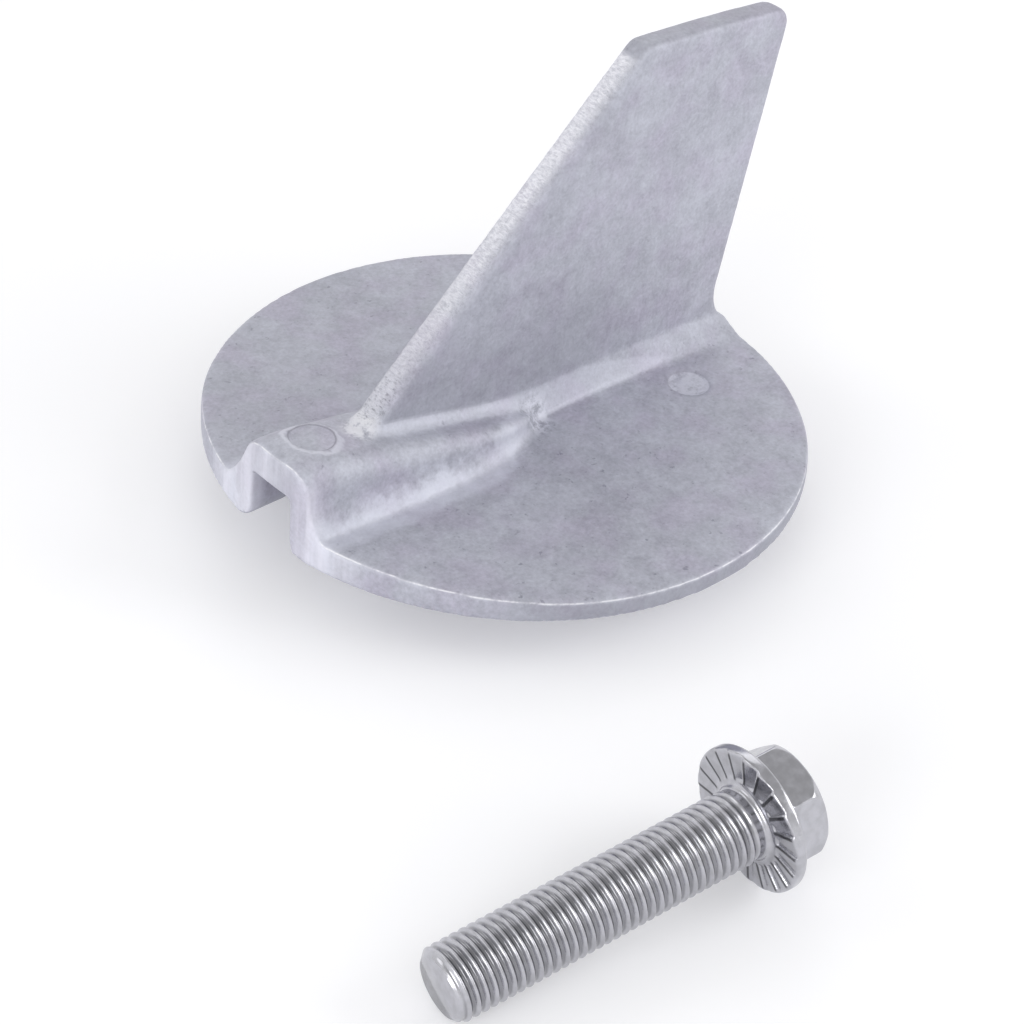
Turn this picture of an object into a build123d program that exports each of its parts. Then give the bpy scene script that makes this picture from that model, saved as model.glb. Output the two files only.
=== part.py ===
from build123d import *
from math import asin, atan, cos, hypot, radians, sin, tan
import os

# Trim-tab anode for an outboard's lower unit, with its own flanged bolt lying beside it.
# Millimetres. The origin is the mouth of the threaded hole in the boss, on the floor.
# +X runs aft along the fin, +Y is the port side and +Z points along the fin, away from the mounting side.

# Disc
disc_radius = 45.0
plate_thickness = 3.15
front_rise = 2.0
front_rise_start = -11.5
rim_top_round = 0.5

# Boss and its blind M10 x 1.25 thread
boss_height = 7.5
boss_radius = 11.0
boss_root_round = 1.5
boss_mouth_round = 0.6
thread_radius = 4.33
thread_depth = 9.2

# Hump over the locating slot: a level front, a long slope aft and a round tail.
# Its starboard flank is nearly upright and its port flank leans in.
hump_height = 14.2
starboard_half = 8.0
starboard_lean = 3.0
port_half = 9.2
port_lean = 25.0
hump_foot_flare = 1.8
hump_foot_height = 4.0
hump_foot_hollow = 0.35
hump_level_end = -37.0
hump_slope_angle = 13.0
hump_crown_round = 3.8
hump_narrowing = -13.0
hump_tail_drop = -4.0
hump_tail = 3.4
hump_least_half = 1.2

# Locating slot under the hump, open at the rim
slot_half_width = 4.4
slot_draft_angle = 2.2
slot_height = 9.3
slot_level_length = 6.0
slot_end = -13.5
starboard_lip_round = 1.9
port_lip_round = 3.2

# Fin
fin_thickness = 4.5
fin_draft_angle = 0.35
lead_angle = 43.8
lead_foot = -28.9
lead_root_depth = 2.0
lead_root_setback = 12.0
lead_foot_height = 12.8
fin_height = 58.4
fin_top_drop_angle = 3.4
fin_top_bow = 0.3
trail_setback = 4.8
trail_angle = 9.5
trail_root_round = 7.4
trail_root_margin = 0.5
fin_front_corner_round = 1.3
fin_rear_corner_round = 2.8
fin_edge_round = 0.9

# Flared foot all round the fin: low on the hump and high on the plate
foot_flare = 1.8
foot_rear_flare = 4.4
foot_height = 5.6
foot_rear_height = 3.1
foot_height_on_hump = 1.9
foot_hollow = 0.25
foot_nose = -30.2
foot_nose_length = 5.0
foot_spread_start = 15.0
foot_over_root = 0.15

# Marks of the ejector pins
pin_radius = 3.3
pin_ring_width = 0.45
pin_ring_height = 0.15
pin_sink = 0.3
hump_pin_setback = 7.3
plate_pin_x = 28.0
plate_pin_y = 10.6

# Flange bolt, M10 x 1.25 x 45
bolt_radius = 4.9
bolt_length = 45.0
bolt_tip_chamfer = 0.9
bolt_neck_round = 0.7
flange_radius = 9.8
flange_thickness = 1.7
flange_edge_round = 0.5
flange_slope_angle = 22.0
hex_across_flats = 14.0
hex_chamfer_angle = 30.0
hex_turn = 13.6
head_height = 7.5
tooth_count = 20
tooth_share = 0.88
tooth_depth = 0.32
tooth_inner_radius = 5.9

# Where the bolt lies: its flange and its tip touch the floor
bolt_flange_x = -34.5
bolt_flange_y = -80.9
bolt_heading = -7.9

# How far a cutting form runs past what it meets, how far two forms run into
# each other, and the least height of a form that tapers to nothing
overrun = 1.0
merge = 0.12
least_height = 0.6

plate_under = boss_height
plate_top = plate_under + plate_thickness
tip_height = plate_under + fin_height
rise_run = disc_radius + front_rise_start
rise_radius = (rise_run**2 + front_rise**2) / (2 * front_rise)

# The trailing edge's foot, and the centre of the hollow behind it, in side view
trail_foot = disc_radius - trail_setback
root_reach = trail_root_round / tan(radians(90 - trail_angle) / 2)
root_x = trail_foot + root_reach
root_z = plate_top + trail_root_round


def plate_level(x):
    """Height of the plate's top at x: flat aft, and on a tangent arc towards the front."""
    ahead = max(0.0, front_rise_start - x)
    return plate_top + rise_radius - (rise_radius**2 - ahead**2) ** 0.5


def share(x, start, end):
    """How far x lies along from start to end, held between 0 and 1."""
    return min(1.0, max(0.0, (x - start) / (end - start)))


def quarter_ellipse(x, start, end):
    """Falls from 1 at start to 0 at end along a quarter of an ellipse."""
    return (1 - share(x, start, end) ** 2) ** 0.5


def crest(x):
    """Height of the hump's top at x: level, then a slope aft that drops at the tail."""
    slope = tan(radians(hump_slope_angle)) * max(0.0, x - hump_level_end)
    above = hump_height - slope - plate_thickness
    return plate_top + above * quarter_ellipse(x, hump_tail_drop, hump_tail)


def hump_station(x):
    """The hump's section across the axis at x, with its lower part inside the plate."""
    height = max(crest(x) - plate_level(x), least_height) + merge
    crown = min(hump_crown_round, 0.45 * height)
    flare_height = min(hump_foot_height, 0.5 * height)
    narrowing = quarter_ellipse(x, hump_narrowing, hump_tail)
    base = Plane(origin=(x, 0, crest(x) - height), x_dir=(0, 1, 0), z_dir=(1, 0, 0))
    with BuildSketch(base) as section:
        with BuildLine():
            flanks = ((1, port_half, port_lean), (-1, starboard_half, starboard_lean))
            for side, full_half, lean_angle in flanks:
                half = hump_least_half + (full_half - hump_least_half) * narrowing
                lean = radians(lean_angle)
                bend = crown * tan((radians(90) - lean) / 2)
                corner = half - height * tan(lean)
                top = (side * (corner - bend), height)
                flank = (side * (corner + bend * sin(lean)), height - bend * cos(lean))
                ankle = (side * (half - flare_height * tan(lean)), flare_height)
                toe = side * (half + hump_foot_flare)
                Line((0, height), top)
                RadiusArc(top, flank, side * crown)
                Line(flank, ankle)
                SagittaArc(ankle, (toe, 0), -side * hump_foot_hollow)
                Line((toe, 0), (toe, -overrun))
                Line((toe, -overrun), (0, -overrun))
        make_face()
    return section.sketch


def root_level(x):
    """Height in the hollow behind the fin's trailing edge at x."""
    run = min(trail_root_round, max(0.0, root_x - x))
    return root_z - (trail_root_round**2 - run**2) ** 0.5


def foot_station(x):
    """The section of the fin's foot across the axis at x, with its upper part inside the fin."""
    nose = quarter_ellipse(foot_nose + foot_nose_length - x, 0, foot_nose_length)
    ground = max(plate_level(x), crest(x)) - merge
    aft = share(x, foot_spread_start, disc_radius)
    over_plate = foot_height + (foot_rear_height - foot_height) * aft
    full = max(crest(x) + foot_height_on_hump, plate_top + over_plate) - ground
    behind = root_level(x) + foot_over_root - ground
    under_root = full if x < root_x - trail_root_round else (full**-3 + behind**-3) ** (-1 / 3)
    height = under_root * nose + 0.5 * merge
    spread = (foot_rear_flare - foot_flare) * aft
    foot = (fin_thickness / 2 + foot_flare) * (0.25 + 0.75 * nose) + spread
    top = (fin_thickness / 2 - merge) * (0.2 + 0.8 * nose)
    with BuildSketch(Plane(origin=(x, 0, ground), x_dir=(0, 1, 0), z_dir=(1, 0, 0))) as section:
        with BuildLine():
            Line((0, height), (top, height))
            SagittaArc((top, height), (foot, 0), -foot_hollow * (0.1 + 0.9 * nose))
            Line((foot, 0), (foot, -overrun))
            Line((foot, -overrun), (0, -overrun))
            mirror(about=Plane.YZ)
        make_face()
    return section.sketch


def on_rim(face):
    """True for a face of the disc's round outline."""
    return face.geom_type == GeomType.CYLINDER and abs(face.radius - disc_radius) < 0.01


def is_slot_lip(edge):
    """True for an edge where the slot's walls meet the plate's underside."""
    middle = edge @ 0.5
    return abs(abs(middle.Y) - slot_half_width) < 0.01 and abs(middle.Z - plate_under) < 0.01


def is_outer(edge):
    """True for an edge along the upper side of the rim, over the plate and the hump."""
    middle = edge @ 0.5
    above_slot = middle.Z > plate_under + slot_height + 0.1
    beside_slot = middle.X > 0 or abs(middle.Y) > slot_half_width + 0.1
    return middle.Z > plate_level(middle.X) - 0.01 and (beside_slot or above_slot)


with BuildPart() as hump:
    # Sections across the axis, closer together where it narrows to its tail
    along = [hump_level_end + (hump_narrowing - hump_level_end) * part for part in (0, 0.25, 0.5, 0.75, 1)]
    narrow = [hump_narrowing + (hump_tail - hump_narrowing) * part for part in (0.25, 0.55, 0.7, 0.84, 0.94, 1)]
    for x in [-disc_radius - overrun, *along, *narrow]:
        add(hump_station(x))
    loft()


with BuildPart() as foot:
    # Sections across the axis: a nose on the hump, and a fall to the rim in the hollow behind the fin
    hollow_start = root_x - trail_root_round
    fall_run = disc_radius + overrun - hollow_start
    nose = [foot_nose + foot_nose_length * part for part in (0, 0.12, 0.4, 1)]
    side_shares = (0.2, 0.3, 0.38, 0.46, 0.55, 0.7, 0.88, 0.99)
    sides = [foot_nose + (hollow_start - foot_nose) * part for part in side_shares]
    fall = [hollow_start + fall_run * part for part in (0.06, 0.2, 0.36, 0.56, 0.78, 1)]
    for x in [*nose, *sides, *fall]:
        add(foot_station(x))
    loft()


with BuildPart() as fin:
    # Side outline, from inside the plate and the hump up to the bowed tip,
    # with a hollow behind its trailing edge
    lead_slope = tan(radians(lead_angle))
    trail_slope = tan(radians(trail_angle))
    top_slope = tan(radians(fin_top_drop_angle))
    sunk = plate_under + 0.6 * plate_thickness
    lead_top = lead_foot + (fin_height - lead_foot_height) / lead_slope
    rear_top = (trail_foot + (fin_height + top_slope * lead_top - plate_thickness) * trail_slope) / (
        1 + top_slope * trail_slope
    )
    root_start = (
        trail_foot + root_reach * sin(radians(trail_angle)),
        plate_top + root_reach * cos(radians(trail_angle)),
    )
    root_end_x = disc_radius - trail_root_margin
    root_end = (root_end_x, root_level(root_end_x))
    front_tip = (lead_top, tip_height)
    rear_tip = (rear_top, tip_height - (rear_top - lead_top) * top_slope)
    with BuildSketch(Plane.XZ):
        with BuildLine():
            Polyline(
                (root_end_x, sunk),
                (lead_foot + lead_root_setback, sunk),
                (lead_foot - lead_root_depth / lead_slope, plate_under + lead_foot_height - lead_root_depth),
                front_tip,
            )
            SagittaArc(front_tip, rear_tip, fin_top_bow)
            Line(rear_tip, root_start)
            RadiusArc(root_start, root_end, -trail_root_round)
            Line(root_end, (root_end_x, sunk))
        make_face()
    extrude(amount=fin_thickness, both=True)

    # Casting draft: both faces lean in towards the tip
    lean = tan(radians(fin_draft_angle))
    half_root = fin_thickness / 2 + lean * fin_height / 2
    half_tip = fin_thickness / 2 - lean * fin_height / 2
    with BuildSketch(Plane.YZ):
        with BuildLine():
            Polyline(
                (-half_root, plate_under),
                (half_root, plate_under),
                (half_tip, tip_height),
                (-half_tip, tip_height),
                close=True,
            )
        make_face()
    extrude(amount=2 * disc_radius, both=True, mode=Mode.INTERSECT)
    front_corner = fin.edges().filter_by(Axis.Y).sort_by(Axis.Z)[-1]
    fillet(front_corner, fin_front_corner_round)
    upper = [edge for edge in fin.edges().filter_by(Axis.Y) if edge.center().Z > plate_top + fin_height / 2]
    rear_corner = ShapeList(upper).sort_by(Axis.X)[-1]
    fillet(rear_corner, fin_rear_corner_round)
    arrises = [
        edge
        for face in (fin.faces().sort_by(Axis.Y)[0], fin.faces().sort_by(Axis.Y)[-1])
        for edge in face.edges()
        if edge.center().Z > plate_top + fin_edge_round
    ]
    fillet(arrises, fin_edge_round)


with BuildPart() as anode_casting:
    # Plate: a side section that thickens towards the front
    front = -disc_radius - overrun
    back = disc_radius + overrun
    with BuildSketch(Plane.XZ):
        with BuildLine():
            Polyline(
                (front, plate_level(front)),
                (front, plate_under),
                (back, plate_under),
                (back, plate_top),
                (front_rise_start, plate_top),
            )
            TangentArc((front_rise_start, plate_top), (front, plate_level(front)), tangent=(-1, 0))
        make_face()
    extrude(amount=back, both=True)
    add(hump.part)
    add(foot.part)

    # Rim: everything so far is trimmed to the round outline
    with BuildSketch(Plane.XY.offset(plate_under)):
        Circle(disc_radius)
    extrude(amount=hump_height + overrun, mode=Mode.INTERSECT)

    # Locating slot: level at the mouth, then its roof slopes down under the hump
    with BuildPart(mode=Mode.PRIVATE) as slot:
        with BuildSketch(Plane.XZ):
            with BuildLine():
                Polyline(
                    (front, plate_under - overrun),
                    (front, plate_under + slot_height),
                    (-disc_radius + slot_level_length, plate_under + slot_height),
                    (slot_end, plate_under),
                    (slot_end, plate_under - overrun),
                    close=True,
                )
            make_face()
        extrude(amount=2 * slot_half_width, both=True)
        slot_roof = slot_half_width - slot_height * tan(radians(slot_draft_angle))
        slot_floor = slot_half_width + overrun * tan(radians(slot_draft_angle))
        with BuildSketch(Plane.YZ):
            with BuildLine():
                Polyline(
                    (-slot_floor, plate_under - overrun),
                    (slot_floor, plate_under - overrun),
                    (slot_roof, plate_under + slot_height),
                    (-slot_roof, plate_under + slot_height),
                    close=True,
                )
            make_face()
        extrude(amount=2 * disc_radius, both=True, mode=Mode.INTERSECT)
    add(slot.part, mode=Mode.SUBTRACT)

    # Rounded arrises along the rim, over the hump's front and on the slot's lips
    fillet(anode_casting.faces().filter_by(on_rim).edges().filter_by(is_outer), rim_top_round)
    starboard_lip = anode_casting.edges().filter_by(Axis.X).filter_by(is_slot_lip).sort_by(Axis.Y)[0]
    fillet(starboard_lip, starboard_lip_round)
    port_lip = anode_casting.edges().filter_by(Axis.X).filter_by(is_slot_lip).sort_by(Axis.Y)[-1]
    fillet(port_lip, port_lip_round)

    # Boss under the plate
    with BuildSketch(Plane.XY):
        Circle(boss_radius)
    extrude(amount=boss_height)
    rings = anode_casting.edges().filter_by(GeomType.CIRCLE)
    boss_rings = rings.filter_by(lambda ring: abs(ring.radius - boss_radius) < 0.01).sort_by(Axis.Z)
    fillet(boss_rings[-1], boss_root_round)
    fillet(boss_rings[0], boss_mouth_round)

    # Fin
    add(fin.part)

    # Ejector pin marks: one on the hump with a raised ring, and one on the plate to each side of the fin
    hump_top = plate_under + hump_height
    hump_pin_x = hump_pin_setback - disc_radius
    with BuildSketch(Plane.XY.offset(hump_top - overrun)):
        with Locations((hump_pin_x, 0)):
            Circle(pin_radius + pin_ring_width)
    extrude(amount=overrun + pin_ring_height)
    with BuildSketch(Plane.XY.offset(hump_top - pin_sink)):
        with Locations((hump_pin_x, 0)):
            Circle(pin_radius)
    with BuildSketch(Plane.XY.offset(plate_top - pin_sink)):
        with Locations((plate_pin_x, plate_pin_y), (plate_pin_x, -plate_pin_y)):
            Circle(pin_radius)
    extrude(amount=2 * overrun, mode=Mode.SUBTRACT)

    # Blind hole for the bolt, at the size of its thread's crests
    with BuildSketch(Plane.XY):
        Circle(thread_radius)
    extrude(amount=thread_depth, mode=Mode.SUBTRACT)


with BuildPart() as bolt_upright:
    # Shank and flange, turned about the bolt's axis with the flange's underside at 0
    slope_rise = tan(radians(flange_slope_angle))
    with BuildSketch(Plane.XZ):
        with BuildLine():
            Line((0, -bolt_length), (bolt_radius - bolt_tip_chamfer, -bolt_length))
            Line((bolt_radius - bolt_tip_chamfer, -bolt_length), (bolt_radius, bolt_tip_chamfer - bolt_length))
            Line((bolt_radius, bolt_tip_chamfer - bolt_length), (bolt_radius, -bolt_neck_round))
            RadiusArc((bolt_radius, -bolt_neck_round), (bolt_radius + bolt_neck_round, 0), bolt_neck_round)
            Line((bolt_radius + bolt_neck_round, 0), (flange_radius, 0))
            Line((flange_radius, 0), (flange_radius, flange_thickness))
            Line((flange_radius, flange_thickness), (0, flange_thickness + flange_radius * slope_rise))
            Line((0, flange_thickness + flange_radius * slope_rise), (0, -bolt_length))
        make_face()
    revolve(axis=Axis.Z)
    circles = bolt_upright.edges().filter_by(GeomType.CIRCLE)
    rims = circles.filter_by(lambda ring: ring.radius > flange_radius - 0.01)
    fillet(rims, flange_edge_round)

    # Serrations: low ramps round the flange's underside, each ending in a step
    with BuildPart(mode=Mode.PRIVATE) as tooth:
        for radius in (tooth_inner_radius, flange_radius + overrun):
            half = tooth_share * radius * tan(radians(180 / tooth_count))
            with BuildSketch(Plane(origin=(radius, 0, 0), x_dir=(0, 1, 0), z_dir=(1, 0, 0))):
                with BuildLine():
                    Polyline((-half, 0), (half, tooth_depth), (half, -overrun), (-half, -overrun), close=True)
                make_face()
        loft()
    with PolarLocations(0, tooth_count):
        add(tooth.part, mode=Mode.SUBTRACT)

with BuildPart() as hexagon:
    # Hexagon with its end turned to a cone
    with BuildSketch(Plane.XY.offset(flange_thickness)):
        RegularPolygon(hex_across_flats / 2, 6, major_radius=False, rotation=hex_turn)
    extrude(amount=head_height - flange_thickness)
    corner_radius = hex_across_flats / 2 / cos(radians(30))
    flat_end = 0.95 * hex_across_flats / 2
    cone_run = corner_radius + overrun
    with BuildSketch(Plane.XZ):
        with BuildLine():
            Polyline(
                (0, 0),
                (cone_run, 0),
                (cone_run, head_height - (cone_run - flat_end) * tan(radians(hex_chamfer_angle))),
                (flat_end, head_height),
                (0, head_height),
                close=True,
            )
        make_face()
    revolve(axis=Axis.Z, mode=Mode.INTERSECT)

with BuildPart() as flange_bolt:
    # Laid down: turned so that the flange's rim and the end of the shank both touch the floor
    reach = bolt_length - bolt_tip_chamfer + flange_edge_round
    drop = flange_radius - bolt_radius - flange_edge_round
    rise = atan(drop / reach) + asin(flange_edge_round / hypot(drop, reach))
    lift = flange_radius * cos(rise) - flange_edge_round * (sin(rise) + cos(rise) - 1)
    heading = radians(bolt_heading)
    along = (cos(rise) * cos(heading), cos(rise) * sin(heading), sin(rise))
    lying = Plane(
        origin=(bolt_flange_x, bolt_flange_y, lift), x_dir=(-sin(heading), cos(heading), 0), z_dir=along
    )
    with Locations(lying):
        add(bolt_upright.part)
        add(hexagon.part)

os.makedirs("parts", exist_ok=True)
anode_casting.part.label = "anode_casting"
export_step(anode_casting.part, "parts/anode_casting.step")
flange_bolt.part.label = "flange_bolt"
export_step(flange_bolt.part, "parts/flange_bolt.step")
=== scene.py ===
import math

import bmesh
import bpy
from mathutils import Matrix, Vector, noise
from mathutils.bvhtree import BVHTree


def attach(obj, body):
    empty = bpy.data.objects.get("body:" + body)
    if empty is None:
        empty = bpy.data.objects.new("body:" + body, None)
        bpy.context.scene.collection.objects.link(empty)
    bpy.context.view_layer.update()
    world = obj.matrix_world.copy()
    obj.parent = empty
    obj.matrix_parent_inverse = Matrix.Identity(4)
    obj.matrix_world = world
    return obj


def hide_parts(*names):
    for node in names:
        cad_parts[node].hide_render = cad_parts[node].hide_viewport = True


# Trim-tab anode and its bolt: finer meshes for the CAD's solids, materials, floor, room, lights and camera.
# +X runs aft along the fin, +Y is the port side and +Z points along the fin.
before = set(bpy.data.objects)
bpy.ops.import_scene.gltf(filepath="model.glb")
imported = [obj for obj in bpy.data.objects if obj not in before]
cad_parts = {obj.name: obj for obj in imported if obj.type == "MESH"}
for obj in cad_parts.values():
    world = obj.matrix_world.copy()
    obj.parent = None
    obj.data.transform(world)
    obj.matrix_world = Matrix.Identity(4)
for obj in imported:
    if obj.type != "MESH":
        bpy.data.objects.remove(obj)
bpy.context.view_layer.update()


def grey(r, g, b):
    """An sRGB colour, 0 to 255, as linear RGBA."""
    lin = [c / 255 / 12.92 if c <= 10 else ((c / 255 + 0.055) / 1.055) ** 2.4 for c in (r, g, b)]
    return (*lin, 1.0)


# Casting sizes, in metres
DISC_R = 0.045
PLATE_TOP = 0.01065
TIP = 0.0659
LEAD_ROOT = (-0.0289, 0.0203)
LEAD_ANGLE = math.radians(43.8)
LEAD_COS, LEAD_SIN = math.cos(LEAD_ANGLE), math.sin(LEAD_ANGLE)
FIN_NOSE = (-0.0297, -0.0006, 0.0209)
KNOT = (0.0015, 0.0046, 0.0125)
CASTING_VOXEL = 0.00048

# Each ejector pin's mark: its place, and how strong its halo, its disc and its line are
PIN_R = 0.0033
PIN_MARKS = (
    ((-0.0377, 0.0), 0.6, 0.1, 0.6),
    ((0.028, 0.0106), 0.1, 0.7, 0.1),
    ((0.028, -0.0106), 0.1, 0.7, 0.1),
)

# Relief of the casting's skin, in millimetres, with each wave's size and height
BOSS_R = 13
BOSS_TOP = 7.0
SLOW_WAVE = (7.0, 0.030)
SHORT_WAVE = (2.4, 0.016)
CHATTER = (0.9, 0.07)
CHATTER_DEPTH = 1.4
CHATTER_START = 20
CHATTER_HALF = 2.6
WRINKLE = (1.1, 0.28)
WRINKLE_AT = (1.5, 4.2, 12.0)
WRINKLE_REACH = (3.2, 1.6, 2.0)

# Where the marks on the casting start and end, in metres
HUMP_TAPER = (-0.013, 0.003)
HUMP_TAPER_DEPTH = 0.0075
FLARE_SIDE = (0.0112, 0.0152)
FLARE_AFT = (-0.004, 0.001)
FLARE_TOP = (PLATE_TOP + 0.003, PLATE_TOP + 0.0055)
FOOT_SIDE = (0.0023, 0.0046)
FOOT_NOSE = (-0.030, -0.028)
FOOT_TOP = (0.0176, 0.0186)
FOOT_SLOPE = 0.22
ROOT_START = (0.0145, 0.016)
ROOT_FADE = (0.020, 0.040)
ROOT_AFT = (0.010, 0.028)
ROOT_SIDE = (0.004, 0.006)
LEAD_START = (-0.0005, 0.001)
LEAD_DEPTH = (0.0004, 0.0014)
LEAD_STARBOARD = (-0.0021, -0.0002)
LEAD_PORT = (0.0015, 0.0021)
LEAD_GLOW = (0.004, 0.040)
LEAD_PITS = (0.004, 0.013)
TIP_START = (TIP - 0.0022, TIP - 0.0012)
NOSE_REACH = (0.0012, 0.0036)
KNOT_REACH = (0.0016, 0.0042)
RIM_ARRIS = (DISC_R - 0.0004, DISC_R - 0.0002)
RIM_LIT = (-0.02, -0.002)
RIM_FACE = (DISC_R - 0.0006, DISC_R - 0.0003)
RIM_SIDE = (0.028, 0.040)
MOUTH = (-0.0435, -0.0415)
PIN_HALO = (PIN_R + 0.0003, PIN_R + 0.0011)
PIN_DISC = (PIN_R - 0.0003, PIN_R)
PIN_LINE = (PIN_R - 0.00012, PIN_R + 0.0001)

# Bolt sizes, in metres, with its flange's underside at 0 and its head up
SHANK_R = 0.0049
SHANK_L = 0.045
PITCH = 0.00125
THREAD_DEPTH = 0.00052
TIP_CHAMFER = 0.0009
NECK = 0.0007
NECK_R = 0.00468
RUNOUT_START = 0.0022
RUNOUT_LENGTH = 0.0009
TOOTH_COUNT = 20
TOOTH_AT = math.radians(9.9)
HEX_FOOT = 0.004
HEX_CORNER = 0.00808
CROWN_START = 0.0049
CROWN_CURVE = 130
CROWN_CONE = 0.0058
CROWN_SLOPE = 0.15
HEAD_VOXEL = 0.0002

# Where the bolt lies, as in part.py: its flange's rim and its tip touch the floor
FLANGE = Vector((-0.0345, -0.0809, 0.00968967))
HEADING = math.radians(-7.9)
RISE = math.radians(6.2735)

# The thread's outline, in pitches from its crest, with rows closer where it bends
THREAD_ROWS = (-0.42, -0.37, -0.28, -0.18, -0.1, -0.06, 0.0, 0.06, 0.1, 0.18, 0.28, 0.37, 0.42)
THREAD_COLUMNS = 80
CREST_HALF = 0.07
CREST_ROUND = 0.012
FLANK = 0.3

# Where the marks on the bolt start and end, in metres
VALLEY_RADII = (SHANK_R - 0.0005, SHANK_R - 0.00025)
VALLEY_TOP = (-0.0012, -0.0008)
VALLEY_FOOT = (-SHANK_L + 0.0004, -SHANK_L + 0.001)
LINE_HALF = (0.00014, 0.00028)
LINE_RADII = (0.0058, 0.0094)
LINE_LEVELS = (-0.00045, 0.0006)
ARRIS_RADII = (0.0098, 0.0101)
ARRIS_TOP = (0.0003, 0.001)

# Colours of the casting
SKIN_DARK = grey(162, 163, 174)
SKIN_LIGHT = grey(193, 195, 206)
SPECK = grey(122, 124, 136)
LILAC = grey(253, 248, 253)
# Partly paler skin, partly painted highlight, on the hump's flare and the fin's foot
PALE_AND_LIT = grey(222, 224, 236)
# Darker grey: painted shade low on the fin, and the rim's face at the sides
DARKER_GREY = grey(140, 141, 152)
# Filed metal with a painted highlight, on the leading edge
FETTLED_AND_LIT = grey(238, 238, 245)
PIT = grey(112, 113, 121)
GLINT = grey(235, 235, 240)
# Painted shade on the top of the fin's tip
TIP_SHADE = grey(128, 128, 137)
# Painted highlight on the rim's upper arris
RIM_HIGHLIGHT = grey(238, 238, 242)
DRAWN = grey(236, 235, 246)
HALO = grey(214, 215, 226)
PIN_EDGE = grey(120, 121, 130)
KNOT_RIDGE = grey(222, 223, 234)
KNOT_PIT = grey(120, 122, 132)

# Colours of the bolt
STEEL_DARK = grey(178, 178, 183)
STEEL_LIGHT = grey(192, 192, 198)
# Painted shade in the thread's valleys
VALLEY_SHADE = grey(100, 100, 104)
# Painted shade beside each serration's step
SERRATION_SHADE = grey(62, 62, 66)
# Painted highlight on the flange's lower arris
FLANGE_HIGHLIGHT = grey(240, 240, 244)

# Floor and room
FLOOR_SIZE = 6
FLOOR_COLOUR = (0.84, 0.84, 0.86, 1)
FLOOR_FADE = (0.25, 0.9)
FLOOR_GLOW = (0.2, 0.5)
ROOM_HEIGHTS = (0.3, 0.8)
ROOM_LEVELS = (1.0, 0.6)

# Each light's name, place, size in metres and power in watts
LIGHTS = (
    ("left", (-0.52, 0.50, 0.50), 0.35, 0.4),
    ("right", (0.52, -0.52, 0.40), 0.45, 1.7),
    ("back", (0.45, 0.55, 0.60), 0.5, 0.7),
    ("front", (-0.75, -0.20, 0.25), 0.4, 2.1),
)

# Camera, fitted to the photo: from looking straight down it is rolled, tilted up and turned about Z
CAMERA_AT = Vector((-0.219525, -0.211567, 0.221389))
CAMERA_ROLL = math.radians(6.2624)
CAMERA_TILT = math.radians(53.0786)
CAMERA_TURN = math.radians(-46.5)
SENSOR = 36.0
IMAGE_PIXELS = 1024
FOCAL_PIXELS = 2500


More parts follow.
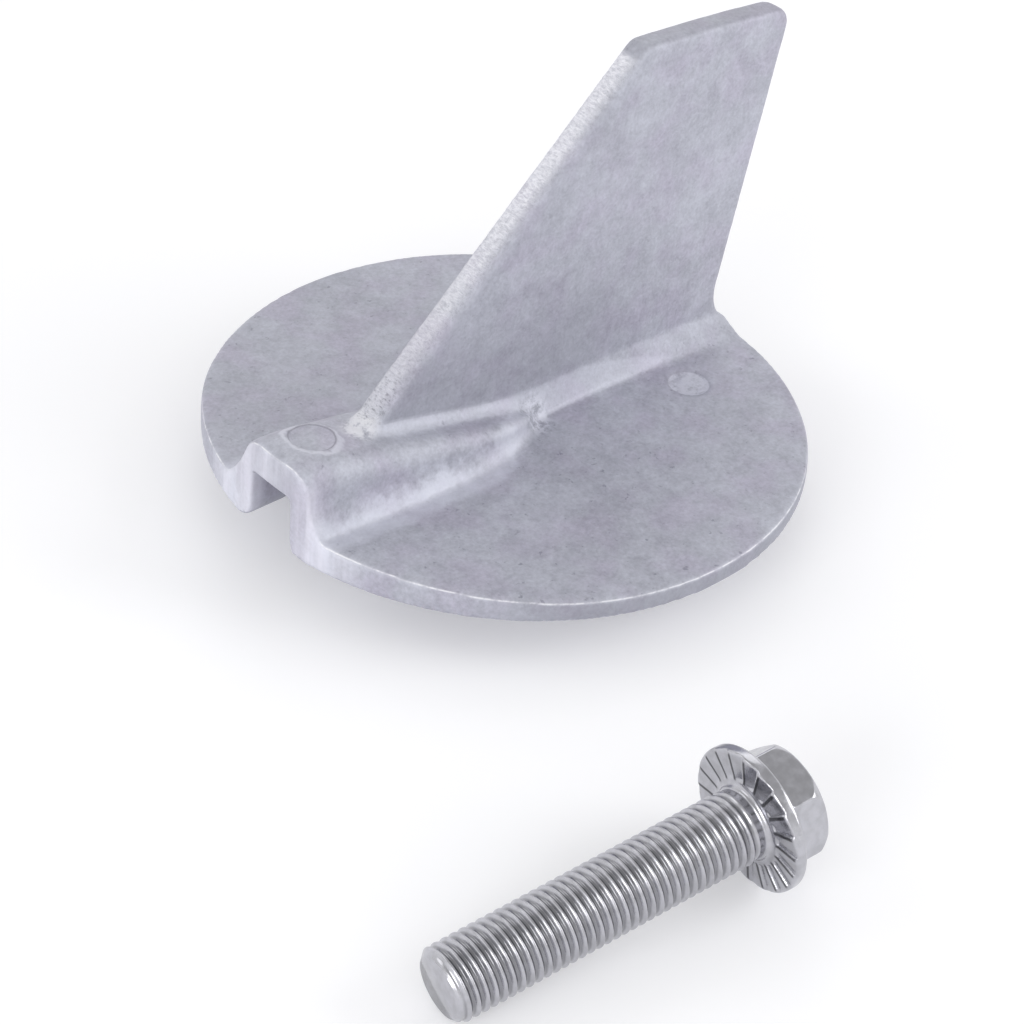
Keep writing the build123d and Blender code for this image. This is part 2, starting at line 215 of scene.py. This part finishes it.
# Node trees
class Mat:
    """A small node-tree writer."""

    def __init__(self, name):
        self.mat = bpy.data.materials.new(name)
        self.mat.use_nodes = True
        self.tree = self.mat.node_tree
        self.bsdf = self.tree.nodes["Principled BSDF"]
        self.pos = self.node("ShaderNodeTexCoord").outputs["Object"]

    def node(self, kind, **values):
        made = self.tree.nodes.new(kind)
        for key, value in values.items():
            setattr(made, key, value)
        return made

    def feed(self, socket, value):
        if isinstance(value, bpy.types.NodeSocket):
            self.tree.links.new(value, socket)
        else:
            socket.default_value = value

    def set(self, **values):
        """Feeds the shader's own sockets, named with underscores for spaces."""
        for key, value in values.items():
            self.feed(self.bsdf.inputs[key.replace("_", " ")], value)

    def split(self, vector):
        made = self.node("ShaderNodeSeparateXYZ")
        self.feed(made.inputs[0], vector)
        return made.outputs

    def place(self, stretch=(1, 1, 1), turn=(0, 0, 0), shift=(0, 0, 0)):
        made = self.node("ShaderNodeMapping")
        self.feed(made.inputs["Vector"], self.pos)
        made.inputs["Scale"].default_value = stretch
        made.inputs["Rotation"].default_value = turn
        made.inputs["Location"].default_value = shift
        return made.outputs[0]

    def noise(self, size, detail=3.0, rough=0.55, distortion=0.0, where=None):
        """Noise whose largest features are about size metres across."""
        made = self.node("ShaderNodeTexNoise")
        self.feed(made.inputs["Vector"], where or self.pos)
        made.inputs["Scale"].default_value = 1.0 / size
        made.inputs["Detail"].default_value = detail
        made.inputs["Roughness"].default_value = rough
        made.inputs["Distortion"].default_value = distortion
        return made.outputs["Fac"]

    def math(self, op, a, b=0.0, c=0.0):
        made = self.node("ShaderNodeMath", operation=op)
        for socket, value in zip(made.inputs, (a, b, c)):
            self.feed(socket, value)
        return made.outputs[0]

    def total(self, *terms):
        result = terms[0]
        for term in terms[1:]:
            result = self.math("ADD", result, term)
        return result

    def product(self, *terms):
        result = terms[0]
        for term in terms[1:]:
            result = self.math("MULTIPLY", result, term)
        return result

    def distance(self, point, place):
        """How far a point, given by its separate coordinates, is from a fixed place."""
        squares = [self.math("POWER", self.total(a, -b), 2.0) for a, b in zip(point, place)]
        return self.math("SQRT", self.total(*squares))

    def span(self, value, low, high, out_low=0.0, out_high=1.0, smooth=True):
        """out_low below low and out_high above high, with a ramp between them."""
        made = self.node("ShaderNodeMapRange", interpolation_type="SMOOTHSTEP" if smooth else "LINEAR")
        self.feed(made.inputs["Value"], value)
        made.inputs["From Min"].default_value = low
        made.inputs["From Max"].default_value = high
        made.inputs["To Min"].default_value = out_low
        made.inputs["To Max"].default_value = out_high
        return made.outputs["Result"]

    def fall(self, value, low, high):
        """1 below low and 0 above high, with a ramp between them."""
        return self.span(value, low, high, 1.0, 0.0)

    def band(self, value, low, high, soft):
        """1 between low and high, and 0 beyond them, over a soft edge."""
        up = self.span(value, low - soft, low + soft)
        down = self.fall(value, high - soft, high + soft)
        return self.product(up, down)

    def mix(self, factor, a, b, blend="MIX"):
        made = self.node("ShaderNodeMix", data_type="RGBA", blend_type=blend)
        self.feed(made.inputs["Factor"], factor)
        self.feed(made.inputs["A"], a)
        self.feed(made.inputs["B"], b)
        return made.outputs["Result"]

    def bump(self, height, strength, distance, normal=None):
        made = self.node("ShaderNodeBump")
        self.feed(made.inputs["Strength"], strength)
        made.inputs["Distance"].default_value = distance
        self.feed(made.inputs["Height"], height)
        if normal:
            self.feed(made.inputs["Normal"], normal)
        return made.outputs["Normal"]


# The casting's material
class Skin(Mat):
    """The cast alloy, with the places and noises that its marks share."""

    def __init__(self):
        super().__init__("anode_alloy")
        self.x, self.y, self.z = self.split(self.pos)
        self.up = self.split(self.node("ShaderNodeNewGeometry").outputs["Normal"])[2]
        self.level = self.math("ABSOLUTE", self.up)
        self.aside = self.math("ABSOLUTE", self.y)
        self.from_axis = self.distance((self.x, self.y), (0, 0))
        self.blotch = self.noise(0.0045, 3, 0.6, 0.4)
        self.mottle = self.noise(0.0016, 3, 0.7)
        self.grain = self.noise(0.00055, 2, 0.65)

        # The leading edge: how far along it a point is, its file strokes, and where it shows
        from_root = self.total(self.x, -LEAD_ROOT[0])
        over_root = self.total(self.z, -LEAD_ROOT[1])
        behind = self.total(self.product(from_root, LEAD_SIN), self.product(over_root, -LEAD_COS))
        self.along = self.total(self.product(from_root, LEAD_COS), self.product(over_root, LEAD_SIN))
        self.strokes = self.noise(
            0.0011, 4, 0.75, where=self.place(turn=(0, LEAD_ANGLE, 0), stretch=(2.6, 1.0, 2.6))
        )
        self.on_lead = self.product(
            self.fall(self.total(behind, self.product(self.grain, 0.0006)), *LEAD_DEPTH),
            self.span(self.along, *LEAD_START),
            self.fall(self.z, *TIP_START),
        )


def mottled_skin(m):
    """Mottled grey, a little blue, with dark specks and faint lilac patches."""
    cloud = m.noise(0.016, 2, 0.5)
    tone = m.total(
        m.product(m.span(cloud, 0.3, 0.7, smooth=False), 0.16),
        m.product(m.span(m.blotch, 0.32, 0.68, smooth=False), 0.24),
        m.product(m.span(m.mottle, 0.3, 0.7, smooth=False), 0.32),
        m.product(m.span(m.grain, 0.3, 0.7, smooth=False), 0.28),
    )
    colour = m.mix(m.span(tone, 0.2, 0.8, smooth=False), SKIN_DARK, SKIN_LIGHT)
    speck = m.noise(0.0011, 2, 0.6, where=m.place(shift=(0.7, 0.2, 0.5)))
    specks = m.product(
        m.fall(speck, 0.27, 0.36),
        m.span(m.blotch, 0.4, 0.6, 0.6, 0.1),
        m.span(m.up, 0.2, 0.8, 0.3, 1.0),
    )
    colour = m.mix(specks, colour, SPECK)
    patches = m.noise(0.007, 2, 0.5, where=m.place(shift=(0.3, 0.1, 0.2)))
    return m.mix(m.span(patches, 0.4, 0.7), colour, m.mix(1.0, colour, LILAC, "MULTIPLY"))


def lit_and_pale_feet(m, colour):
    """The hump's flare and the fin's foot are paler than the rest: partly paler skin, partly a painted
    highlight where these slopes catch the light.
    """
    patchy = m.span(m.noise(0.005, 3, 0.6, 0.6), 0.32, 0.62)
    hump_side = m.total(m.aside, m.product(m.span(m.x, *HUMP_TAPER), HUMP_TAPER_DEPTH))
    ragged = m.total(hump_side, m.product(m.blotch, 0.004), m.product(m.mottle, 0.002))
    flare = m.product(
        m.band(ragged, *FLARE_SIDE, 0.0009),
        m.fall(m.x, *FLARE_AFT),
        m.fall(m.z, *FLARE_TOP),
        m.total(m.product(patchy, 0.2), 0.36),
    )
    foot = m.product(
        m.band(m.aside, *FOOT_SIDE, 0.0004),
        m.span(m.x, *FOOT_NOSE),
        m.fall(m.total(m.z, m.product(m.x, FOOT_SLOPE)), *FOOT_TOP),
        m.band(m.up, 0.1, 0.93, 0.06),
        0.25,
    )
    return m.mix(m.math("MAXIMUM", flare, foot), colour, PALE_AND_LIT)


def shaded_root(m, colour):
    """Painted shade: the fin's sides are darker towards its root, ahead of its trailing edge."""
    root = m.product(
        m.fall(m.z, *ROOT_FADE),
        m.fall(m.level, 0.2, 0.4),
        m.span(m.z, *ROOT_START),
        m.fall(m.x, *ROOT_AFT),
        m.fall(m.aside, *ROOT_SIDE),
        0.3,
    )
    return m.mix(root, colour, DARKER_GREY)


def fettled_and_lit_edge(m, colour):
    """The leading edge is filed and carries a painted highlight, most of all towards the tip, and is pitted
    at its root.
    """
    across = m.product(m.span(m.y, *LEAD_STARBOARD), m.span(m.y, *LEAD_PORT, 1.0, 0.15))
    glow = m.product(m.on_lead, across, m.span(m.along, *LEAD_GLOW, 0.5, 1.0))
    colour = m.mix(m.product(glow, m.span(m.strokes, 0.3, 0.7, 0.25, 1.0)), colour, FETTLED_AND_LIT)
    pits = m.product(m.on_lead, m.fall(m.along, *LEAD_PITS), m.fall(m.strokes, 0.36, 0.46), 0.55)
    return m.mix(pits, colour, PIT)


def nose_glint(m, colour):
    """A glint where the fin's nose runs out on the hump."""
    away = m.distance((m.x, m.y, m.z), FIN_NOSE)
    shine = m.product(m.fall(away, *NOSE_REACH), m.span(m.mottle, 0.35, 0.55), 0.7)
    return m.mix(shine, colour, GLINT)


def shaded_tip(m, colour):
    """Painted shade: the top of the fin's tip is darker."""
    on_tip = m.product(m.span(m.z, *TIP_START), m.span(m.up, 0.25, 0.7), 0.2)
    return m.mix(on_tip, colour, TIP_SHADE)


def lit_rim_and_dark_sides(m, colour):
    """The rim's upper arris carries a painted highlight in front and to starboard. Its face is darker at
    the sides.
    """
    rim_arris_highlight = m.product(
        m.span(m.from_axis, *RIM_ARRIS),
        m.band(m.up, 0.5, 0.75, 0.1),
        m.fall(m.total(m.x, m.y), *RIM_LIT),
        m.span(m.noise(0.0025, 3, 0.7), 0.4, 0.55, 0.25, 1.0),
        0.75,
    )
    colour = m.mix(rim_arris_highlight, colour, RIM_HIGHLIGHT)
    side = m.product(
        m.span(m.from_axis, *RIM_FACE),
        m.span(m.aside, *RIM_SIDE),
        m.fall(m.level, 0.2, 0.5),
        0.45,
    )
    return m.mix(side, colour, DARKER_GREY)


def drawn_mouth(m, colour):
    """Draw marks down the rim's face beside the slot."""
    drawn = m.noise(0.003, 3, 0.6, where=m.place(stretch=(1, 1, 0.08)))
    beside = m.product(
        m.fall(m.x, *MOUTH),
        m.fall(m.level, 0.3, 0.6),
        m.span(drawn, 0.35, 0.65, 0.3, 1.0),
        0.5,
    )
    return m.mix(beside, colour, DRAWN)


def pin_marks(m, colour):
    """A ragged halo, a lighter disc and a dark line round each ejector pin's mark."""
    flat = m.span(m.up, 0.3, 0.8)
    for place, halo, inside, line in PIN_MARKS:
        away = m.distance((m.x, m.y), place)
        ragged = m.total(away, m.product(m.blotch, 0.0034), -0.0017)
        ring = m.product(m.band(ragged, *PIN_HALO, 0.0003), halo)
        disc = m.product(m.fall(away, *PIN_DISC), m.span(m.mottle, 0.3, 0.6), inside)
        colour = m.mix(m.product(m.total(ring, disc), flat), colour, HALO)
        edge = m.product(m.band(away, *PIN_LINE, 0.00012), flat, line)
        colour = m.mix(edge, colour, PIN_EDGE)
    return colour


def wrinkled_knot(m, colour):
    """Wrinkled skin where the hump's tail meets the fin's foot, on both sides."""
    near = m.fall(m.distance((m.x, m.aside, m.z), KNOT), *KNOT_REACH)
    colour = m.mix(m.product(near, m.span(m.mottle, 0.48, 0.58), 0.6), colour, KNOT_RIDGE)
    return m.mix(m.product(near, m.fall(m.mottle, 0.38, 0.44), 0.45), colour, KNOT_PIT)


def cast_alloy():
    m = Skin()
    colour = mottled_skin(m)
    marks = (
        lit_and_pale_feet, shaded_root, fettled_and_lit_edge, nose_glint, shaded_tip,
        lit_rim_and_dark_sides, drawn_mouth, pin_marks, wrinkled_knot,
    )
    for mark in marks:
        colour = mark(m, colour)
    normal = m.bump(m.mottle, 0.3, 0.0003)
    normal = m.bump(m.grain, 0.35, 0.00014, normal)
    normal = m.bump(m.strokes, m.product(m.on_lead, 0.8), 0.0003, normal)
    m.set(
        Base_Color=colour,
        Metallic=0.3,
        Roughness=m.total(m.span(m.mottle, 0.3, 0.7, 0.52, 0.64), m.product(m.on_lead, -0.16)),
        Normal=normal,
    )
    return m.mat


# The bolt's material
def bolt_frame():
    """From the bolt's own frame to where it lies."""
    across = Vector((-math.sin(HEADING), math.cos(HEADING), 0))
    flat = math.cos(RISE)
    axis = Vector((flat * math.cos(HEADING), flat * math.sin(HEADING), math.sin(RISE)))
    third = axis.cross(across)
    return Matrix.Translation(FLANGE) @ Matrix((across, third, axis)).transposed().to_4x4()


def bolt_place(m):
    """Where a point lies in the bolt's own frame."""
    offset = m.node("ShaderNodeVectorMath", operation="SUBTRACT")
    m.feed(offset.inputs[0], m.pos)
    offset.inputs[1].default_value = FLANGE
    place = []
    for axis in bolt_frame().to_3x3().transposed():
        dot = m.node("ShaderNodeVectorMath", operation="DOT_PRODUCT")
        m.feed(dot.inputs[0], offset.outputs[0])
        dot.inputs[1].default_value = axis
        place.append(dot.outputs["Value"])
    return place


def bright_steel():
    m = Mat("stainless")
    wiped = m.noise(0.0014, 2, 0.5)
    drawn = m.noise(0.0004, 2, 0.6, where=m.place(turn=(0, -RISE, HEADING), stretch=(0.12, 1, 1)))
    colour = m.mix(m.span(wiped, 0.3, 0.7), STEEL_DARK, STEEL_LIGHT)
    x, y, z = bolt_place(m)
    away = m.distance((x, y), (0, 0))

    # Painted shade: the thread's valleys are darker
    valley_shade = m.product(
        m.fall(away, *VALLEY_RADII),
        m.fall(z, *VALLEY_TOP),
        m.span(z, *VALLEY_FOOT),
        0.6,
    )
    colour = m.mix(valley_shade, colour, VALLEY_SHADE)

    # Painted shade: a dark line beside the step of each serration
    half = math.pi / TOOTH_COUNT
    turned = m.math("WRAP", m.total(m.math("ARCTAN2", y, x), -TOOTH_AT), half, -half)
    off = m.product(m.math("ABSOLUTE", turned), away)
    line = m.product(
        m.fall(off, *LINE_HALF),
        m.band(away, *LINE_RADII, 0.0002),
        m.band(z, *LINE_LEVELS, 0.00015),
        0.85,
    )
    colour = m.mix(line, colour, SERRATION_SHADE)

    # Painted highlight along the flange's lower arris
    arris = m.product(m.span(away, *ARRIS_RADII), m.fall(z, *ARRIS_TOP), 0.7)
    m.set(
        Base_Color=m.mix(arris, colour, FLANGE_HIGHLIGHT),
        Metallic=1.0,
        Roughness=m.span(wiped, 0.3, 0.7, 0.17, 0.26),
        Normal=m.bump(drawn, 0.2, 0.00005, m.bump(wiped, 0.03, 0.0001)),
    )
    return m.mat


# Mesh tools
def mesh_piece(name, mesh, material):
    made = bpy.data.objects.new(name, mesh)
    bpy.context.scene.collection.objects.link(made)
    mesh.materials.clear()
    mesh.materials.append(material)
    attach(made, "root")
    return made


def welded(source):
    bm = bmesh.new()
    bm.from_mesh(source.data)
    bmesh.ops.remove_doubles(bm, verts=bm.verts, dist=1e-6)
    return bm


def remeshed(bm, name, voxel):
    """An even mesh over the surface that bm holds."""
    mesh = bpy.data.meshes.new(name)
    bm.to_mesh(mesh)
    made = bpy.data.objects.new(name, mesh)
    bpy.context.scene.collection.objects.link(made)
    step = made.modifiers.new("even", "REMESH")
    step.mode = "VOXEL"
    step.voxel_size = voxel
    step.use_smooth_shade = True
    result = bpy.data.meshes.new_from_object(made.evaluated_get(bpy.context.evaluated_depsgraph_get()))
    result.name = name
    bpy.data.objects.remove(made)
    return result


def settle(mesh, bm, rounds, factor):
    """Brings the even mesh back onto the surface, then eases it."""
    tree = BVHTree.FromBMesh(bm)
    for vert in mesh.vertices:
        found = tree.find_nearest(vert.co)[0]
        if found is not None:
            vert.co = found
    even = bmesh.new()
    even.from_mesh(mesh)
    for _ in range(rounds):
        bmesh.ops.smooth_vert(
            even, verts=even.verts, factor=factor, use_axis_x=True, use_axis_y=True, use_axis_z=True
        )
    even.to_mesh(mesh)
    even.free()


# Casting
def wave(p, size_and_height):
    size, height = size_and_height
    return height * noise.noise(p / size)


def rough_skin(mesh):
    """Moves all but the boss along its normals: waves, chatter on the leading edge and a wrinkled knot."""
    normals = [vert.normal.copy() for vert in mesh.vertices]
    for vert, normal in zip(mesh.vertices, normals):
        p = vert.co * 1000
        if p.z < BOSS_TOP and p.x**2 + p.y**2 < BOSS_R**2:
            continue
        lift = wave(p, SLOW_WAVE) + wave(p, SHORT_WAVE)
        behind = (p.x - LEAD_ROOT[0] * 1000) * LEAD_SIN - (p.z - LEAD_ROOT[1] * 1000) * LEAD_COS
        if behind < CHATTER_DEPTH and p.z > CHATTER_START and abs(p.y) < CHATTER_HALF:
            lift += wave(p, CHATTER) * (1.0 - max(behind, 0.0) / CHATTER_DEPTH)
        spot = (p.x, abs(p.y), p.z)
        near = math.exp(-sum(((a - b) / c) ** 2 for a, b, c in zip(spot, WRINKLE_AT, WRINKLE_REACH)))
        if near > 0.02:
            lift += near * wave(p, WRINKLE)
        vert.co = (p + normal * lift) / 1000


def make_casting():
    solid = welded(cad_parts["anode_casting"])
    mesh = remeshed(solid, "casting", CASTING_VOXEL)
    settle(mesh, solid, 4, 0.5)
    solid.free()
    rough_skin(mesh)
    return mesh


casting = mesh_piece("casting", make_casting(), cast_alloy())
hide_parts("anode_casting")


# Bolt
def thread_radius(phase):
    """Radius of the rolled thread at a distance from its crest, in pitches, averaged to round its bends."""
    depth = 0.0
    for k in range(7):
        d = abs(phase + (k - 3) * CREST_ROUND)
        depth += min(1.0, max(0.0, (d - CREST_HALF) / FLANK)) / 7
    return SHANK_R - THREAD_DEPTH * depth


def threaded_shank(bm):
    """The shank's surface, on rows that follow the thread's helix, closed at both ends."""
    start = -SHANK_L - 1.5 * PITCH
    turns = int(SHANK_L / PITCH) + 4
    grid = []
    for turn in range(turns):
        for row in THREAD_ROWS:
            line = []
            for k in range(THREAD_COLUMNS + 1):
                angle = 2 * math.pi * k / THREAD_COLUMNS
                level = start + PITCH * (turn + row + k / THREAD_COLUMNS)
                level = min(max(level, -SHANK_L), -0.5 * NECK)
                runout = min(1.0, max(0.0, (level + RUNOUT_START) / RUNOUT_LENGTH))
                radius = thread_radius(row) * (1 - runout) + NECK_R * runout
                radius = min(radius, SHANK_R - TIP_CHAMFER + (level + SHANK_L))
                line.append(bm.verts.new((radius * math.cos(angle), radius * math.sin(angle), level)))
            grid.append(line)
    for low, high in zip(grid, grid[1:]):
        for k in range(THREAD_COLUMNS):
            bm.faces.new((low[k], low[k + 1], high[k + 1], high[k]))
    bmesh.ops.remove_doubles(bm, verts=bm.verts, dist=1e-7)
    bmesh.ops.dissolve_degenerate(bm, edges=bm.edges, dist=1e-7)
    bmesh.ops.holes_fill(bm, edges=[edge for edge in bm.edges if edge.is_boundary])
    bmesh.ops.recalc_face_normals(bm, faces=bm.faces)


def rounded_crown(mesh):
    """Rounds the hexagon's corners, more and more towards its end."""
    for vert in mesh.vertices:
        x, y, z = vert.co
        away = math.hypot(x, y)
        dome = CROWN_CURVE * max(0.0, z - CROWN_START) ** 2
        most = HEX_CORNER - dome - CROWN_SLOPE * max(0.0, z - CROWN_CONE)
        if z > HEX_FOOT and away > most:
            vert.co.x = x * most / away
            vert.co.y = y * most / away


def bolt_head(to_place):
    """The CAD's head, flange and neck, cut off the shank and standing in the bolt's own frame."""
    head = welded(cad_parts["flange_bolt"])
    bmesh.ops.transform(head, matrix=to_place.inverted(), verts=head.verts)
    bmesh.ops.bisect_plane(
        head, geom=[*head.verts, *head.edges, *head.faces], dist=1e-7,
        plane_co=(0, 0, -NECK), plane_no=(0, 0, -1), clear_outer=True,
    )
    bmesh.ops.holes_fill(head, edges=[edge for edge in head.edges if edge.is_boundary])
    bmesh.ops.triangulate(head, faces=head.faces)
    mesh = remeshed(head, "bolt", HEAD_VOXEL)
    settle(mesh, head, 2, 0.4)
    head.free()
    rounded_crown(mesh)
    return mesh


def make_bolt():
    to_place = bolt_frame()
    mesh = bolt_head(to_place)
    bolt = bmesh.new()
    threaded_shank(bolt)
    for face in bolt.faces:
        face.smooth = True
    bolt.from_mesh(mesh)
    bmesh.ops.transform(bolt, matrix=to_place, verts=bolt.verts)
    bolt.to_mesh(mesh)
    bolt.free()
    mesh.shade_smooth()
    return mesh


bolt = mesh_piece("bolt", make_bolt(), bright_steel())
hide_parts("flange_bolt")


# Floor, room, lights and camera
def seen(m):
    """1 for what the camera, a reflection or a view through glass sees, and 0 for light on the object."""
    path = m.node("ShaderNodeLightPath")
    result = path.outputs["Is Camera Ray"]
    for name in ("Is Glossy Ray", "Is Transmission Ray"):
        result = m.math("MAXIMUM", result, path.outputs[name])
    return result


def make_floor():
    """A pale floor that keeps the shadow and looks white further out."""
    bpy.ops.mesh.primitive_plane_add(size=FLOOR_SIZE, location=(0, 0, 0))
    floor = bpy.context.object
    floor.name = "floor"
    m = Mat("floor")
    x, y, _ = m.split(m.pos)
    glow = m.span(m.distance((x, y), (0, 0)), *FLOOR_FADE, *FLOOR_GLOW)
    m.set(Base_Color=FLOOR_COLOUR, Roughness=1.0, Specular_IOR_Level=0.0)
    m.set(Emission_Color=(1, 1, 1, 1), Emission_Strength=m.product(seen(m), glow))
    floor.data.materials.append(m.mat)


def make_room():
    """The room is white round the horizon and dimmer overhead."""
    world = bpy.data.worlds.new("world")
    bpy.context.scene.world = world
    world.use_nodes = True
    tree = world.node_tree
    where = tree.nodes.new("ShaderNodeTexCoord")
    apart = tree.nodes.new("ShaderNodeSeparateXYZ")
    tree.links.new(where.outputs["Generated"], apart.inputs[0])
    dim = tree.nodes.new("ShaderNodeValToRGB")
    tree.links.new(apart.outputs[2], dim.inputs[0])
    for stop, height, level in zip(dim.color_ramp.elements, ROOM_HEIGHTS, ROOM_LEVELS):
        stop.position = height
        stop.color = (level, level, level, 1)
    tree.links.new(dim.outputs[0], tree.nodes["Background"].inputs["Color"])


def make_lights():
    """Soft square lights that face the part."""
    for name, place, size, power in LIGHTS:
        data = bpy.data.lights.new(name, "AREA")
        data.size = size
        data.energy = power
        light = bpy.data.objects.new(name, data)
        bpy.context.scene.collection.objects.link(light)
        light.location = place
        light.rotation_mode = "QUATERNION"
        light.rotation_quaternion = (-Vector(place)).to_track_quat("-Z", "Y")


def make_camera():
    data = bpy.data.cameras.new("camera")
    data.sensor_width = SENSOR
    data.lens = FOCAL_PIXELS / IMAGE_PIXELS * SENSOR
    data.clip_start = 0.01
    camera = bpy.data.objects.new("camera", data)
    bpy.context.scene.collection.objects.link(camera)
    roll = Matrix.Rotation(CAMERA_ROLL, 4, "Z")
    tilt = Matrix.Rotation(CAMERA_TILT, 4, "X")
    turn = Matrix.Rotation(CAMERA_TURN, 4, "Z")
    camera.matrix_world = Matrix.Translation(CAMERA_AT) @ turn @ tilt @ roll
    bpy.context.scene.camera = camera


make_floor()
make_room()
make_lights()
make_camera()
bpy.context.scene.view_settings.view_transform = "Standard"
